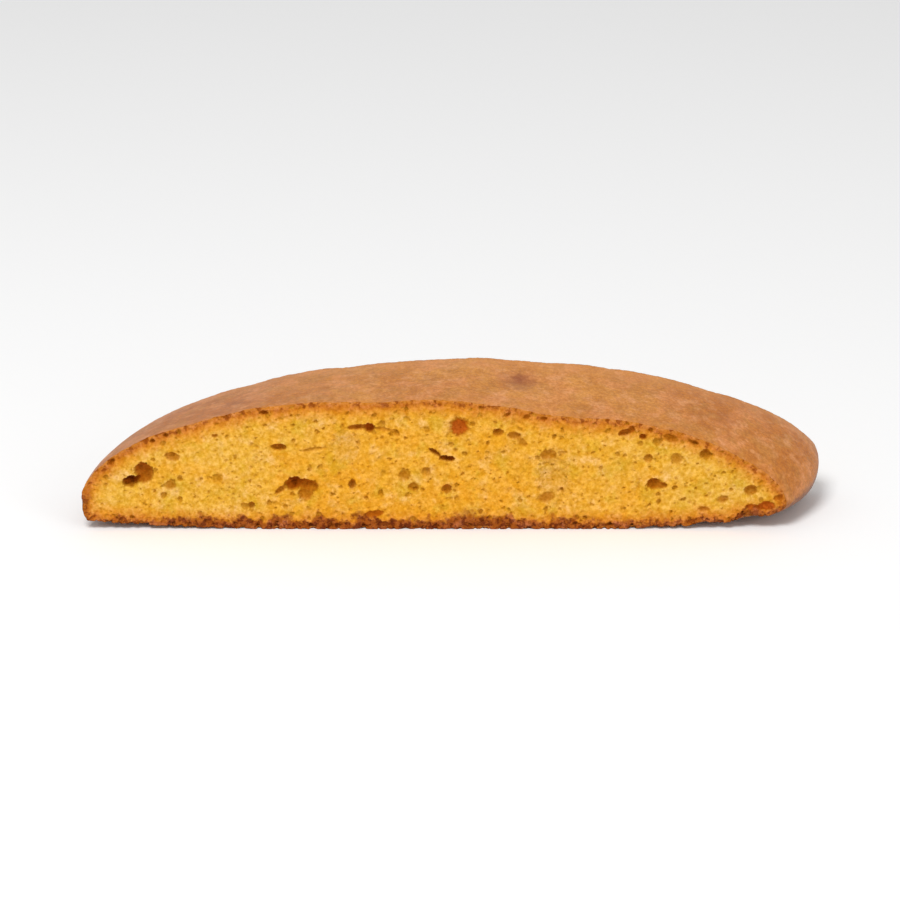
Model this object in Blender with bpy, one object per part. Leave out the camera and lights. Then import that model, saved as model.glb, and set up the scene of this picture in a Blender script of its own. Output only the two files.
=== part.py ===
"""A biscotto: one slice of a twice-baked loaf, lying on its baked base.

The loaf was a long flat-bottomed dome. It was cut across on a slight slant, so the slice has two
flat cut faces, front and back, and a band of crust that runs round between them. The slice is a
loft: an outline of the loaf at each station from the front cut to the back cut, where the two end
outlines are unlike. The front one tapers to a low point on the right, and the back one is a fuller
dome. The larger bubbles of the dough, which the knife opened, are hollows in both cut faces.

Millimetres throughout, turned into metres where the mesh is written. X runs along the cut faces,
Y from the front cut to the back cut, Z up from the surface that the slice rests on.
"""

import math
import random

import bmesh
import bpy
from mathutils import Euler, Matrix, Vector

MM = 0.001

THICKNESS = 19.5  # from one cut face to the other
SLANT = 6.4  # how far the cut is slanted: the back outline sits this far to the right
SHIFT = -4.07  # moves the whole slice so that the middle of its box is at X = 0
FLAT_FROM, FLAT_TO = -24.0, 28.0  # the stretch of the base that touches the surface

# The outline of each cut. The tips are the ends, at their widest point. A roundness of 2 is an
# ellipse, and less is leaner. The base lifts towards the ends, and heels round off its corners.
FRONT = {
    "left": -64.8,
    "right": 65.6,
    "crown_x": -13.3,
    "crown": 25.4,
    "left_tip": 6.5,
    "right_tip": 4.8,
    "left_roundness": 1.70,
    "right_roundness": 2.08,
    "left_lift": 1.8,
    "right_lift": 3.3,
    "left_heel": 1.2,
    "right_heel": 3.5,
}
BACK = {
    "left": -66.6,
    "right": 66.4,
    "crown_x": 1.0,
    "crown": 26.6,
    "left_tip": 5.2,
    "right_tip": 8.2,
    "left_roundness": 1.76,
    "right_roundness": 1.55,
    "left_lift": 1.7,
    "right_lift": 0.6,
    "left_heel": 3.6,
    "right_heel": 6.0,
}
END_SWELL = {"left": 0.9, "right": 2.4}  # how far the ends stand out halfway between the cuts

# Long shallow waves left in the crust by hand-shaping: height, wave length and phase, and how much
# the phase drifts from the front cut to the back cut. The front outline has two waves of its own,
# which fade out towards the back.
WAVES = ((0.15, 31.0, 0.6, 1.1), (0.09, 17.0, 2.1, -1.7), (0.05, 9.5, 4.0, 2.3))
FRONT_WAVES = ((0.51, 44.9, 2.46), (0.50, 39.9, 0.02))
DIMPLE = {"x": 12.93, "y": 1.1, "radius": 2.6, "depth": 0.6}  # a small dent in the top

STATIONS = 12  # steps from the front cut to the back cut
TOP_STEPS = 92  # steps along the dome
BASE_STEPS = 64  # steps along the base

# The opened bubbles of the front cut: place along and up the face, half width, half height, depth
# and lean in degrees. Wide, low ones are tears, and the big shallow one is a sunken patch.
FRONT_BUBBLES = (
    (-53.1, 11.1, 1.8, 2.1, 2.0, 20),
    (-55.4, 9.5, 1.5, 1.1, 2.3, 25),
    (-47.9, 14.5, 1.4, 1.1, 0.9, 0),
    (-48.4, 8.7, 1.3, 1.2, 0.8, 0),
    (-28.4, 16.4, 1.6, 0.9, 1.7, -5),
    (-25.1, 8.9, 2.1, 1.4, 2.4, 15),
    (-22.2, 8.2, 1.5, 1.1, 1.8, -8),
    (-11.9, 20.1, 2.8, 0.8, 1.6, -4),
    (1.9, 14.5, 2.6, 0.7, 1.7, -24),
    (4.9, 20.4, 1.7, 1.7, 1.0, 0),
    (13.9, 18.6, 2.2, 0.9, 1.2, -12),
    (22.5, 10.1, 3.2, 5.2, 1.1, 0),
    (41.2, 8.8, 1.8, 1.2, 1.6, -5),
    (45.2, 13.9, 1.3, 1.4, 0.9, 0),
    (50.5, 14.9, 1.2, 1.0, 1.3, -10),
    (59.0, 7.7, 1.3, 1.0, 1.1, 0),
    (61.6, 4.9, 2.5, 0.8, 1.3, 8),
    (36.2, 19.4, 1.2, 0.8, 1.0, -12),
    (43.9, 18.0, 1.3, 0.7, 0.9, -18),
)
BACK_BUBBLE_COUNT = 17  # the back cut has as many, scattered
BACK_SEED = 11
BUBBLE_GAP = 1.2  # least dough between a scattered bubble and its neighbour, or the crust
BUBBLE_DETAIL = 2  # subdivisions of the ball that cuts a bubble

CRUST_COLOUR = (0.52, 0.215, 0.068, 1.0)
CRUMB_COLOUR = (0.80, 0.42, 0.065, 1.0)
CRUST_ROUGHNESS = 0.62
CRUMB_ROUGHNESS = 0.85


def blend(first, second, share):
    return first + (second - first) * share


def outline_at(station):
    """The sizes of the loaf's outline at a station, 0 at the front cut and 1 at the back cut."""
    sizes = {name: blend(FRONT[name], BACK[name], station) for name in FRONT}
    swell = 4 * station * (1 - station)
    sizes["left"] -= END_SWELL["left"] * swell
    sizes["right"] += END_SWELL["right"] * swell
    return sizes


def waves(x, station):
    shared = sum(
        height * math.sin(2 * math.pi * x / length + phase + drift * station)
        for height, length, phase, drift in WAVES
    )
    own = sum(
        height * math.sin(2 * math.pi * x / length + phase)
        for height, length, phase in FRONT_WAVES
    )
    return shared + (1 - station) * own


def dome_point(sizes, turn, station):
    """A point of the upper outline. turn goes from 0 at the right tip to pi at the left tip."""
    side = "right" if turn < math.pi / 2 else "left"
    reach = abs(sizes[side] - sizes["crown_x"])
    x = sizes["crown_x"] + reach * math.cos(turn)
    rise = max(math.sin(turn), 0.0)
    tip = sizes[side + "_tip"]
    z = tip + (sizes["crown"] - tip) * rise ** (2 / sizes[side + "_roundness"])
    return x, z + waves(x, station) * rise**0.5


def base_height(sizes, x):
    """How high the underside is above the surface: flat in the middle, lifted towards the ends."""
    side = "left" if x < (FLAT_FROM + FLAT_TO) / 2 else "right"
    edge = FLAT_FROM if side == "left" else FLAT_TO
    beyond = max((x - edge) / (sizes[side] - edge), 0.0)
    lift = sizes[side + "_lift"] * beyond**2
    heel = sizes[side + "_heel"]
    inside = min(abs(sizes[side] - x) / heel, 1.0)
    corner = 1 - math.sqrt(1 - (1 - inside) ** 2)
    return blend(lift, sizes[side + "_tip"], corner)


def ring_at(station):
    """The points round the slice at a station: over the dome to the left tip, back along the base."""
    sizes = outline_at(station)
    points = [dome_point(sizes, math.pi * i / TOP_STEPS, station) for i in range(TOP_STEPS + 1)]
    middle = (sizes["left"] + sizes["right"]) / 2
    half = (sizes["right"] - sizes["left"]) / 2
    for i in range(1, BASE_STEPS):
        x = middle - half * math.cos(math.pi * i / BASE_STEPS)
        points.append((x, base_height(sizes, x)))
    y = THICKNESS * (station - 0.5)
    placed = []
    for x, z in points:
        x += SLANT * station + SHIFT
        away = math.hypot(x - DIMPLE["x"], y - DIMPLE["y"]) / DIMPLE["radius"]
        on_top = z > FRONT["crown"] / 2
        z -= DIMPLE["depth"] * math.exp(-(away**2)) * on_top
        placed.append(Vector((x, y, z)) * MM)
    return placed


def principled(name, colour, roughness):
    material = bpy.data.materials.new(name)
    material.use_nodes = True
    shader = material.node_tree.nodes["Principled BSDF"]
    shader.inputs["Base Color"].default_value = colour
    shader.inputs["Roughness"].default_value = roughness
    shader.inputs["Metallic"].default_value = 0.0
    material.diffuse_color = colour
    return material


def build_slice(collection):
    """The loft from the front outline to the back outline, closed by the two flat cut faces."""
    mesh = bpy.data.meshes.new("biscotto")
    bm = bmesh.new()
    rings = [[bm.verts.new(p) for p in ring_at(i / STATIONS)] for i in range(STATIONS + 1)]
    count = len(rings[0])
    for near, far in zip(rings, rings[1:]):
        for i in range(count):
            j = (i + 1) % count
            face = bm.faces.new((near[i], near[j], far[j], far[i]))
            face.smooth = True
    for ring in (rings[0], rings[-1]):
        cut = bm.faces.new(ring)
        cut.material_index = 1
    bmesh.ops.recalc_face_normals(bm, faces=bm.faces)
    bm.to_mesh(mesh)
    bm.free()
    biscotto = bpy.data.objects.new("biscotto", mesh)
    mesh.materials.append(principled("crust", CRUST_COLOUR, CRUST_ROUGHNESS))
    mesh.materials.append(principled("crumb", CRUMB_COLOUR, CRUMB_ROUGHNESS))
    collection.objects.link(biscotto)
    return biscotto


def scattered_bubbles():
    """Bubbles for the back cut, drawn at random and kept clear of each other and of the crust."""
    draw = random.Random(BACK_SEED)
    sizes = outline_at(1.0)
    bubbles = []
    while len(bubbles) < BACK_BUBBLE_COUNT:
        half_width = draw.uniform(1.1, 2.3)
        half_height = half_width * draw.uniform(0.5, 1.0)
        along = draw.uniform(sizes["left"], sizes["right"])
        up = draw.uniform(0.0, sizes["crown"])
        reach = half_width + BUBBLE_GAP
        side = "right" if along > sizes["crown_x"] else "left"
        share = (along - sizes["crown_x"]) / (sizes[side] - sizes["crown_x"])
        rise = math.sqrt(1 - share**2)
        tip = sizes[side + "_tip"]
        ceiling = tip + (sizes["crown"] - tip) * rise ** (2 / sizes[side + "_roundness"])
        if up + reach > ceiling or up - reach < base_height(sizes, along):
            continue
        if min(along - sizes["left"], sizes["right"] - along) < 3 * reach:
            continue
        x = along + SLANT + SHIFT
        if any(math.hypot(x - b[0], up - b[1]) < reach + b[2] for b in bubbles):
            continue
        depth = half_height * draw.uniform(0.8, 1.1)
        bubbles.append((x, up, half_width, half_height, depth, draw.uniform(-25, 25)))
    return bubbles


def bubble_cutter(name, bubble, y, collection):
    """A ball, stretched and leaned, whose middle is on the cut face."""
    x, z, half_width, half_height, depth, lean = bubble
    place = Matrix.LocRotScale(
        Vector((x, y, z)) * MM,
        Euler((0.0, -math.radians(lean), 0.0)),
        Vector((half_width, depth, half_height)) * MM,
    )
    mesh = bpy.data.meshes.new(name)
    bm = bmesh.new()
    bmesh.ops.create_icosphere(bm, subdivisions=BUBBLE_DETAIL, radius=1.0, matrix=place)
    for face in bm.faces:
        face.smooth = True
    bm.to_mesh(mesh)
    bm.free()
    cutter = bpy.data.objects.new(name, mesh)
    cutter.hide_render = True
    cutter.display_type = "WIRE"
    collection.objects.link(cutter)


def open_bubbles(biscotto, cutters):
    """Hollows in both cut faces, where the knife went through bubbles."""
    for i, bubble in enumerate(FRONT_BUBBLES):
        shifted = (bubble[0] + SHIFT, *bubble[1:])
        bubble_cutter(f"front_bubble_{i}", shifted, -THICKNESS / 2, cutters)
    for i, bubble in enumerate(scattered_bubbles()):
        bubble_cutter(f"back_bubble_{i}", bubble, THICKNESS / 2, cutters)
    cut = biscotto.modifiers.new("opened_bubbles", "BOOLEAN")
    cut.operation = "DIFFERENCE"
    cut.solver = "EXACT"
    cut.operand_type = "COLLECTION"
    cut.collection = cutters


def main():
    for obj in list(bpy.data.objects):
        bpy.data.objects.remove(obj)
    root = bpy.context.scene.collection
    parts = bpy.data.collections.new("biscotto")
    cutters = bpy.data.collections.new("cutters")
    root.children.link(parts)
    root.children.link(cutters)
    cutters.hide_render = True
    biscotto = build_slice(parts)
    open_bubbles(biscotto, cutters)


main()
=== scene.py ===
# %% [markdown]
# # A biscotto, finished
# A biscotto is a slice of a twice-baked loaf. A low, flat-bottomed loaf is baked, cut across
# into slices, and the slices are baked again until they are dry. So the slice has two cut faces,
# golden and full of opened bubbles, and a thin browned crust that runs round between them.
#
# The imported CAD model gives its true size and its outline. This lesson grows a much finer skin
# in the same place: two cut faces of crumb, and one band of crust.

import math

import bpy
import numpy as np
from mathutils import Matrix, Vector
from mathutils.geometry import delaunay_2d_cdt
from mathutils.kdtree import KDTree


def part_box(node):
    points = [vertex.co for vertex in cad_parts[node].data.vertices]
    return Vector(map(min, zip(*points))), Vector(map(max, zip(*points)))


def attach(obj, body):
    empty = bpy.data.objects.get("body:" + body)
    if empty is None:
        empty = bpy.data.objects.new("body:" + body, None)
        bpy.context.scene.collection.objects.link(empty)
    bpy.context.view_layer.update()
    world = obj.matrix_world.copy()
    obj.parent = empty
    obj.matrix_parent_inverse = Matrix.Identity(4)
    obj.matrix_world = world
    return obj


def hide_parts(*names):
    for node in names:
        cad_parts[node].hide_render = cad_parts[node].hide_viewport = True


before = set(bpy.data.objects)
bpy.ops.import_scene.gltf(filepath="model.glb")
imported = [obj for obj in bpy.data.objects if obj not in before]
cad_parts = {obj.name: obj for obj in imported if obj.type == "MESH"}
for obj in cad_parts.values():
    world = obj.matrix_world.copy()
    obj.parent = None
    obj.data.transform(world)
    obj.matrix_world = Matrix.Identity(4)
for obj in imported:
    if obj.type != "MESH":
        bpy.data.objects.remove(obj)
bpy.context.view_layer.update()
node_low, node_high = (np.array(corner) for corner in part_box("biscotto"))
print("CAD box of the slice, mm:", np.round((node_high - node_low) * 1000, 2))

# %% [markdown]
# ## Sizes
# Everything below is in millimetres, because bread is thought of in millimetres, and the numbers
# stay easy to read. Blender works in metres here, so each point is multiplied by MM where a mesh
# is written. The outline sizes are the same named values that the CAD part was lofted from.

# %% The sizes of the slice
MM = 0.001
THICKNESS = 19.5
SLANT = 6.4
FLAT_FROM, FLAT_TO = -24.0, 28.0
FRONT = {
    "left": -64.8,
    "right": 65.6,
    "crown_x": -13.3,
    "crown": 25.4,
    "left_tip": 6.5,
    "right_tip": 4.8,
    "left_roundness": 1.70,
    "right_roundness": 2.08,
    "left_lift": 1.8,
    "right_lift": 3.3,
    "left_heel": 1.2,
    "right_heel": 3.5,
}
BACK = {
    "left": -66.6,
    "right": 66.4,
    "crown_x": 1.0,
    "crown": 26.6,
    "left_tip": 5.2,
    "right_tip": 8.2,
    "left_roundness": 1.76,
    "right_roundness": 1.55,
    "left_lift": 1.7,
    "right_lift": 0.6,
    "left_heel": 3.6,
    "right_heel": 6.0,
}
END_SWELL = {"left": 0.9, "right": 2.4}
# Waves along the crust: height and length (mm), phase, and the phase's drift to the back cut.
# The front cut has two slow waves of its own: height, length and phase.
WAVES = ((0.15, 31.0, 0.6, 1.1), (0.09, 17.0, 2.1, -1.7), (0.05, 9.5, 4.0, 2.3))
FRONT_WAVES = ((0.51, 44.9, 2.46), (0.50, 39.9, 0.02))
DIMPLE = {"x": 17.0, "y": 1.1, "radius": 2.6, "depth": 0.6}

# %% [markdown]
# ## The outline of the loaf
# A loaf of dough slumps into a dome on a flat base. Its outline could be drawn by hand as a
# curve, but a rule keeps it smooth and lets both cuts share it: half a squashed circle over the
# top, with a flatter line back along the base. `way` says how far round the outline a point is,
# from 0 at the right tip to 1 at the left tip, and on to 2 back along the base.


# %% The outline at any station between the cuts
def blend(first, second, share):
    return first + (second - first) * share


def sizes_at(station):
    """The outline's sizes, from the front cut at 0 to the back cut at 1."""
    sizes = {name: blend(FRONT[name], BACK[name], station) for name in FRONT}
    swell = 4 * station * (1 - station)
    sizes["left"] -= END_SWELL["left"] * swell
    sizes["right"] += END_SWELL["right"] * swell
    return sizes


def crust_waves(x, station):
    """The long shallow waves that hand-shaping leaves in the crust."""
    shared = sum(
        height * np.sin(2 * np.pi * x / length + phase + drift * station)
        for height, length, phase, drift in WAVES
    )
    own = sum(
        height * np.sin(2 * np.pi * x / length + phase)
        for height, length, phase in FRONT_WAVES
    )
    return shared + (1 - station) * own


def dome(sizes, turn, station):
    right = turn < np.pi / 2
    edge = np.where(right, sizes["right"], sizes["left"])
    tip = np.where(right, sizes["right_tip"], sizes["left_tip"])
    roundness = np.where(right, sizes["right_roundness"], sizes["left_roundness"])
    x = sizes["crown_x"] + np.abs(edge - sizes["crown_x"]) * np.cos(turn)
    rise = np.maximum(np.sin(turn), 0)
    z = tip + (sizes["crown"] - tip) * rise ** (2 / roundness)
    return x, z + crust_waves(x, station) * np.sqrt(rise)


def base(sizes, x):
    """The height of the underside: flat in the middle, lifted at the ends, with rounded heels."""
    right = x > (FLAT_FROM + FLAT_TO) / 2
    end = np.where(right, sizes["right"], sizes["left"])
    edge = np.where(right, FLAT_TO, FLAT_FROM)
    beyond = np.maximum((x - edge) / (end - edge), 0)
    lift = np.where(right, sizes["right_lift"], sizes["left_lift"]) * beyond**2
    heel = np.where(right, sizes["right_heel"], sizes["left_heel"])
    inside = np.minimum(np.abs(end - x) / heel, 1)
    corner = 1 - np.sqrt(1 - (1 - inside) ** 2)
    return blend(lift, np.where(right, sizes["right_tip"], sizes["left_tip"]), corner)


def outline(way, station):
    """The points of the outline, as columns x, y, z, before the slice is set into its box."""
    sizes = sizes_at(station)
    x_top, z_top = dome(sizes, np.pi * np.clip(way, 0, 1), station)
    along_base = (1 - np.cos(np.pi * np.clip(way - 1, 0, 1))) / 2
    x_base = blend(sizes["left"], sizes["right"], along_base)
    on_top = way <= 1
    x = np.where(on_top, x_top, x_base) + SLANT * station
    z = np.where(on_top, z_top, base(sizes, x_base))
    y = np.full_like(x, THICKNESS * (station - 0.5))
    away = np.hypot(x - DIMPLE["x"], y - DIMPLE["y"]) / DIMPLE["radius"]
    high_up = z > FRONT["crown"] / 2
    return np.stack([x, y, z - DIMPLE["depth"] * np.exp(-(away**2)) * high_up], axis=1)


# %% [markdown]
# ## Even steps, and the place in the box
# Equal steps of `way` bunch up at the tips. Walking the middle outline with dense steps and
# reading off equal distances gives columns that are evenly spaced. The whole slice is then set
# into the CAD node's own box, so that the skin and the solid share one place.

# %% Even columns round the slice
COLUMNS = 1200


def even_ways(count):
    dense = np.linspace(0, 2, 20001)
    path = outline(dense, 0.5)
    steps = np.linalg.norm(np.diff(path, axis=0), axis=1)
    walked = np.concatenate([[0], np.cumsum(steps)])
    wanted = np.linspace(0, walked[-1], count, endpoint=False)
    return np.interp(wanted, walked, dense), walked[-1]


ways, girth = even_ways(COLUMNS)
rough_rings = np.concatenate([outline(ways, s) for s in np.linspace(0, 1, 25)])
rough_low, rough_high = rough_rings.min(0), rough_rings.max(0)
BOX_LOW, BOX_HIGH = node_low / MM, node_high / MM


def into_box(points):
    share = (points - rough_low) / (rough_high - rough_low)
    return BOX_LOW + share * (BOX_HIGH - BOX_LOW)


print(f"Round the slice it is {girth:.0f} mm, in {COLUMNS} columns")

# %% [markdown]
# ## The cut edge
# A knife tears crust a little, so the edge of each cut isn't a clean line. A slow ripple and a
# few small nicks move the border in and out by a tenth of a millimetre or two. The crust's rows
# follow their own border and forget it within a millimetre and a half, so the crust and the cut
# face always meet exactly.

# %% The ragged border of a cut
EDGE_FADE = 1.6
RIPPLES = ((0.04, 7.3), (0.03, 3.1), (0.03, 1.7), (0.02, 0.9))
NICK_COUNT = 60
# Tears in the front cut's lower edge: place along it, half width, and height (mm, minus is torn out).
BASE_TEARS = (
    (46.2, 1.5, 0.25),
    (50.2, 1.1, -0.35),
    (54.2, 2.1, 0.3),
    (58.8, 1.7, -0.5),
    (41.0, 0.9, -0.3),
)


def outward(ring):
    """The direction out of the slice at each point of a ring, in the plane of the cut."""
    along = np.roll(ring, -1, axis=0) - np.roll(ring, 1, axis=0)
    out = np.stack([along[:, 2], np.zeros(len(ring)), -along[:, 0]], axis=1)
    return out / np.linalg.norm(out, axis=1, keepdims=True)


def raggedness(seed, tears, station, strength):
    """How far the border stands out from the smooth outline, in mm, at each column."""
    draw = np.random.default_rng(seed)
    place = np.arange(COLUMNS) * girth / COLUMNS
    ragged = np.zeros(COLUMNS)
    for height, length in RIPPLES:
        turns = round(girth / length)
        ragged += height * np.sin(2 * np.pi * turns * place / girth + draw.uniform(0, 6.28))
    for _ in range(NICK_COUNT):
        away = np.abs(place - draw.uniform(0, girth))
        away = np.minimum(away, girth - away) / draw.uniform(0.25, 0.6)
        ragged -= draw.uniform(0.04, 0.16) * np.exp(-(away**2))
    ragged *= strength
    along = outline(ways, station)[:, 0] - SLANT * station
    for middle, half_width, height in tears:
        ragged += height * np.exp(-(((along - middle) / half_width) ** 4)) * (ways > 1)
    return ragged


smooth_front, smooth_back = (into_box(outline(ways, station)) for station in (0.0, 1.0))
ragged_front = raggedness(3, BASE_TEARS, 0.0, 1.0)
ragged_back = raggedness(4, (), 1.0, 0.5)
front_border = smooth_front + outward(smooth_front) * ragged_front[:, None]
back_border = smooth_back + outward(smooth_back) * ragged_back[:, None]
front_border[:, 2] = np.maximum(front_border[:, 2], 0)
back_border[:, 2] = np.maximum(back_border[:, 2], 0)

# %% [markdown]
# ## Meshes from arrays
# The skin has far too many points to place one at a time, so its points and faces are worked out
# as arrays and written at once. Each point also carries what the later steps need to know:
#
# - `foot`, the point of the cut plane that it belongs to, where its pores are looked up,
# - `into`, +1 or -1, the direction of the dough behind that cut along Y,
# - `fade`, how much it follows the pores: 1 on a cut face, falling to 0 over the crust's edge,
# - `rind`, its distance from the crust, and `under`, how much it belongs to the baked base.


# %% Write a mesh with its attributes
def make_piece(name, points, faces, values, uv):
    """A mesh object from points in mm. uv holds one row for each corner of each face."""
    mesh = bpy.data.meshes.new(name)
    mesh.from_pydata((points * MM).tolist(), [], faces)
    for label, data in values.items():
        kind = "FLOAT_VECTOR" if data.ndim == 2 else "FLOAT"
        attribute = mesh.attributes.new(label, kind, "POINT")
        attribute.data.foreach_set("vector" if data.ndim == 2 else "value", data.ravel())
    layer = mesh.uv_layers.new(name="OFBake")
    layer.data.foreach_set("uv", uv.ravel())
    mesh.shade_smooth()
    piece = bpy.data.objects.new(name, mesh)
    bpy.context.scene.collection.objects.link(piece)
    return piece


def underness(which_way):
    """1 for the base and 0 for the dome, changing over smoothly at the two heels."""
    from_heel = np.minimum(np.abs(which_way - 1), np.minimum(which_way, 2 - which_way))
    soft = np.clip(from_heel / 0.06, 0, 1) / 2
    return np.where(which_way > 1, 0.5 + soft, 0.5 - soft)


under_columns = underness(ways)

# %% [markdown]
# ## The cut faces
# Each cut face is a flat sheet of small triangles, fine enough to hold every pore. A square grid
# would show its rows in the light, so the points are laid like oranges in a box and then nudged.
# Delaunay triangulation joins them up inside the ragged border. The border's own points are part
# of it, which keeps the join with the crust closed.

# %% Fill a border with small triangles
GRAIN = 0.2
NUDGE = 0.16


def fill_border(border, seed):
    """(points, triangles, distance to the border, nearest column). The border's points come first."""
    draw = np.random.default_rng(seed)
    nearest = KDTree(len(border))
    for column, (x, _, z) in enumerate(border):
        nearest.insert((x, z, 0), column)
    nearest.balance()
    low, high = border.min(0), border.max(0)
    row_step = GRAIN * math.sqrt(3) / 2
    lattice = []
    for row, z in enumerate(np.arange(low[2] + row_step, high[2], row_step)):
        xs = np.arange(low[0] + GRAIN / 2 * (row % 2), high[0], GRAIN)
        lattice.append(np.stack([xs, np.full_like(xs, z)], axis=1))
    lattice = np.concatenate(lattice)
    lattice += draw.uniform(-NUDGE * GRAIN, NUDGE * GRAIN, lattice.shape)
    far = [nearest.find((x, z, 0))[2] > 0.6 * GRAIN for x, z in lattice]
    flat = np.concatenate([border[:, [0, 2]], lattice[far]])
    ring = [(i, (i + 1) % len(border)) for i in range(len(border))]
    filled = delaunay_2d_cdt([Vector(p) for p in flat.tolist()], ring, [], 1, 1e-7)
    triangles = np.array(filled[2])
    used, triangles = np.unique(triangles, return_inverse=True)
    flat = np.array([filled[0][i] for i in used])
    found = [nearest.find((x, z, 0)) for x, z in flat]
    distance = np.array([hit[2] for hit in found])
    column = np.array([hit[1] for hit in found])
    return flat, triangles.reshape(-1, 3), distance, column


front_face = fill_border(front_border, 5)
back_face = fill_border(back_border, 6)
print("Triangles in the cut faces:", len(front_face[1]), len(back_face[1]))
assert np.allclose(front_face[0][:COLUMNS], front_border[:, [0, 2]], atol=1e-4)

# %% [markdown]
# ## A body behind each face
# The crumb is one mass, but it is made as two halves that meet in the middle of the slice, each
# light enough to handle and each with a bake map of its own for its colours. Behind the fine face,
# plain rings step back under the crust, and a flat sheet closes the body in the middle. Nobody
# sees those: they only make the half a closed solid. The first ring steps in at once, so that it
# stays covered where the crust has a nick or a low place.
#
# The bake map lays the face out in two halves, left over right, so that a long thin face fills
# a square picture. The hidden walls get a narrow band below.

# %% Closed halves of crumb
# Each ring: how far it is behind the cut (mm), and the share by which it is drawn in.
HIDDEN_RINGS = ((0.5, 0.03), (3.0, 0.04), (5.0, 0.08), (THICKNESS / 2, 0.08))
FACE_BAND = (0.165, 0.995)
WALL_BAND = (0.09, 0.155)
CAP_BAND = (0.005, 0.08)


def hidden_ring(side, depth, tightness):
    """A ring just under the crust, `depth` mm behind a cut, drawn in towards the middle line."""
    station = depth / THICKNESS if side > 0 else 1 - depth / THICKNESS
    ring = into_box(outline(ways, station))
    middle = (ring.min(0) + ring.max(0)) / 2
    return middle + (ring - middle) * (1 - tightness * np.array([0.25, 0, 1]))


def stacked_uv(flat, triangles, band):
    """A long flat shape laid in a band of the square, its left half below its right half."""
    low, high = flat.min(0), flat.max(0)
    middle = (low[0] + high[0]) / 2
    half = (high[0] - low[0]) / 2 + GRAIN * 2
    corners = flat[triangles]
    to_right = corners[:, :, 0].mean(1) > middle
    start = np.where(to_right, middle - GRAIN, low[0] - GRAIN)[:, None]
    u = (corners[:, :, 0] - start) / half * 0.99 + 0.005
    share = (corners[:, :, 1] - low[1]) / (high[1] - low[1])
    height = (band[1] - band[0]) / 2
    v = band[0] + height * (to_right[:, None] + share * 0.98)
    return np.stack([u, v], axis=2).reshape(-1, 2)


def ring_faces(rings, columns, offset=0):
    """Quads between rings of points that are stored one after another."""
    row = np.arange(rings - 1)[:, None] * columns + offset
    here = np.arange(columns)[None, :]
    there = (here + 1) % columns
    return np.stack([row + here, row + columns + here, row + columns + there, row + there], axis=2)


def strip_uv(rings, columns, band, flip=False):
    """A bake map for ring_faces: once round along u, and the rings spread over the band."""
    row = (np.arange(rings - 1) / (rings - 1))[:, None] * np.ones(columns)
    step = np.ones_like(row) / (rings - 1)
    here = (np.arange(columns) / columns)[None, :] * np.ones((rings - 1, 1))
    there = here + 1 / columns
    u = np.stack([here, here, there, there], axis=2) * 0.99 + 0.005
    v = band[0] + np.stack([row, row + step, row + step, row], axis=2) * (band[1] - band[0])
    return np.stack([u, v], axis=3).reshape(-1, 2)


def crumb_half(name, border, face, side):
    """One half of the crumb. side is +1 at the front cut, whose dough lies towards +Y."""
    flat, triangles, distance, column = face
    cut_y = border[0, 1]
    front = np.stack([flat[:, 0], np.full(len(flat), cut_y), flat[:, 1]], axis=1)
    rings = [border]
    rings += [hidden_ring(side, depth, tightness) for depth, tightness in HIDDEN_RINGS]
    walls = ring_faces(len(rings), COLUMNS)
    walls = np.where(walls < COLUMNS, walls, walls - COLUMNS + len(flat))
    cap_ring = [(i, (i + 1) % COLUMNS) for i in range(COLUMNS)]
    cap_points = [Vector((x, z)) for x, _, z in rings[-1]]
    cap = np.array(delaunay_2d_cdt(cap_points, cap_ring, [], 1, 1e-7)[2])
    cap_uv = stacked_uv(rings[-1][:, [0, 2]], cap, CAP_BAND)
    cap = cap + len(flat) + COLUMNS * (len(rings) - 2)
    faces = [triangles, walls.reshape(-1, 4), cap[:, ::-1]]
    maps = [
        stacked_uv(flat, triangles, FACE_BAND).reshape(-1, 3, 2),
        strip_uv(len(rings), COLUMNS, WALL_BAND).reshape(-1, 4, 2),
        cap_uv.reshape(-1, 3, 2)[:, ::-1],
    ]
    if side < 0:
        faces = [group[:, ::-1] for group in faces]
        maps = [group[:, ::-1] for group in maps]
    points = np.concatenate([front, *rings[1:]])
    hidden = len(points) - len(flat)
    values = {
        "foot": points * MM,
        "into": np.full(len(points), float(side)),
        "fade": np.concatenate([np.ones(len(flat)), np.zeros(hidden)]),
        "rind": np.concatenate([distance, np.zeros(hidden)]),
        "under": np.concatenate([under_columns[column], np.zeros(hidden)]),
    }
    corner_map = np.concatenate([group.reshape(-1, 2) for group in maps])
    every_face = [row for group in faces for row in group.tolist()]
    return make_piece(name, points, every_face, values, corner_map)


crumb_front = crumb_half("crumb_front", front_border, front_face, +1)
crumb_back = crumb_half("crumb_back", back_border, back_face, -1)

# %% [markdown]
# ## The crust
# The crust is a band of close rows from one cut to the other, with a second, plain layer under
# it. The rows stand closer together at the cuts, where the edge is torn.

# %% The band of crust
ROW_STEP = 0.33
EDGE_ROWS = (0.0, 0.12, 0.27, 0.47, 0.72)
LINING_RINGS = ((0.6, 0.02), (3.1, 0.03), (5.1, 0.085), (THICKNESS / 2, 0.085))
STRIPS = 4
OUTER_BAND = (0.08, 0.995)
LINING_BAND = (0.005, 0.07)


def row_distances():
    """How far each row is from the front cut, in mm."""
    inner = len(EDGE_ROWS) - 1
    count = round((THICKNESS - 2 * EDGE_ROWS[inner]) / ROW_STEP)
    middle = np.linspace(EDGE_ROWS[inner], THICKNESS - EDGE_ROWS[inner], count + 1)
    return np.concatenate([EDGE_ROWS[:inner], middle, THICKNESS - np.array(EDGE_ROWS[inner - 1 :: -1])])


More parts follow.
